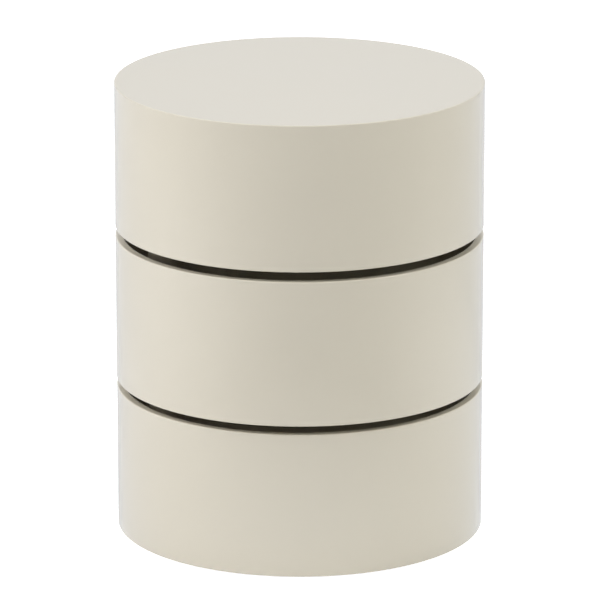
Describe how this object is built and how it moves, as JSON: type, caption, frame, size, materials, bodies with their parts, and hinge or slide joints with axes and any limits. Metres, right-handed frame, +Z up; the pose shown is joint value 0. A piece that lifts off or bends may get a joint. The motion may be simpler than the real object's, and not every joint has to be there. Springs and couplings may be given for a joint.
{
  "type": "drum side table",
  "caption": "Round side table of stacked lacquered drums; the upper drums swing on a side pivot to open the wells below.",
  "frame": {"origin": "on the floor, at the middle of the table's outline, under the centre of the base drum", "axes": "+Z up; the pivot post stands on the -X side; -Y is the front, where the upper drums stand a few millimetres proud"},
  "size_m": [0.4002, 0.4067, 0.5],
  "materials": {
    "lacquer": "bent plywood and panels in warm beige gloss lacquer",
    "painted_steel": "satin beige paint",
    "primed_steel": "matt black primer",
    "steel": "turned, oiled",
    "zinc": "bright zinc plate",
    "nylon": "natural nylon",
    "plywood": "unfinished plywood"
  },
  "bodies": {
    "base_drum": {"base_drum_wall": "lacquer", "base_floor": "lacquer", "base_hub": "painted_steel", "base_hub_screws": "zinc", "base_lower_bush": "nylon", "base_upper_bush": "nylon", "thrust_washer": "steel", "ballast_plate": "primed_steel", "ballast_screws": "zinc", "floor_glides": "nylon", "glide_screws": "zinc"},
    "middle_drum": {"middle_drum_wall": "lacquer", "middle_floor": "lacquer", "middle_hub": "painted_steel", "middle_hub_screws": "zinc", "middle_lower_bush": "nylon", "middle_upper_bush": "nylon"},
    "top_drum": {"top_drum_wall": "lacquer", "top_panel": "lacquer", "top_underside_panel": "lacquer", "pivot_block": "plywood", "pivot_post": "steel", "flange_screws": "zinc", "post_plug": "steel", "retaining_washer": "zinc", "retaining_bolt": "zinc"}
  },
  "joints": [
    {"name": "middle_swing", "type": "hinge", "parent": "base_drum", "child": "middle_drum", "pos_m": [-0.145, 0, 0.171], "axis": [0, 0, 1], "continuous": true},
    {"name": "top_swing", "type": "hinge", "parent": "base_drum", "child": "top_drum", "pos_m": [-0.145, 0, 0.341], "axis": [0, 0, 1], "continuous": true}
  ]
}
